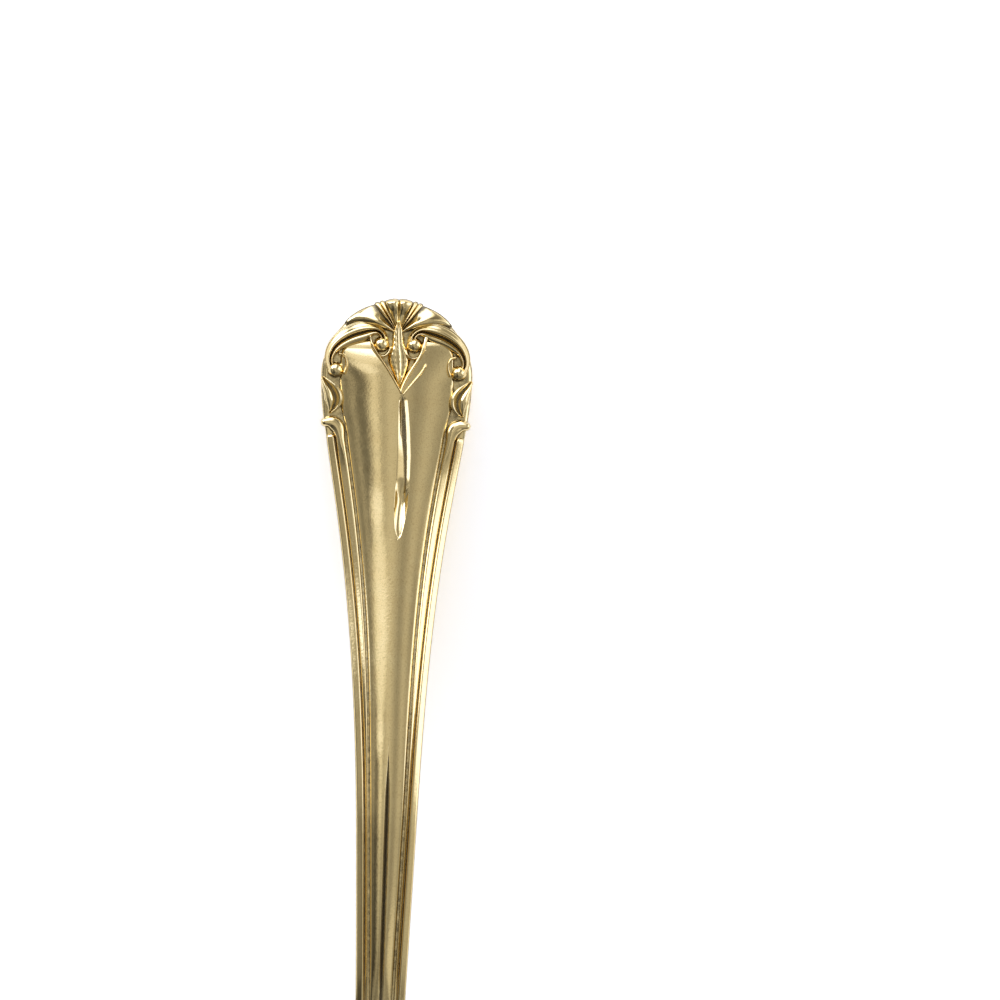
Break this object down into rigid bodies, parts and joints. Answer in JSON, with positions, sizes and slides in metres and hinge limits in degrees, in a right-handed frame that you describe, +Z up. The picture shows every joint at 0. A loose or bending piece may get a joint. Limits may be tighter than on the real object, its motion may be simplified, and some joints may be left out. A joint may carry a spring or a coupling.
{
  "type": "teaspoon",
  "caption": "Gilt teaspoon with an oval bowl and an arched, spatula-ended handle struck with scrolls, a leaf crest, side leaves, threads and a crowned panel.",
  "frame": {"origin": "centre of the spoon's footprint, on the table under it", "axes": "+Y along the spoon from the bowl's tip to the handle's end, +Z up out of the bowl, +X across to the right"},
  "size_m": [0.0312, 0.15, 0.0149],
  "materials": {
    "gilt_metal": "polished gilt, worn, with darker recesses"
  },
  "bodies": {
    "root": {"bowl": "gilt_metal", "neck": "gilt_metal", "handle_plate": "gilt_metal", "panel": "gilt_metal", "tongue": "gilt_metal", "crest": "gilt_metal", "scroll_left": "gilt_metal", "scroll_right": "gilt_metal", "side_leaf_left": "gilt_metal", "side_leaf_right": "gilt_metal", "inner_thread_left": "gilt_metal", "inner_thread_right": "gilt_metal", "outer_thread_left": "gilt_metal", "outer_thread_right": "gilt_metal"}
  },
  "joints": []
}
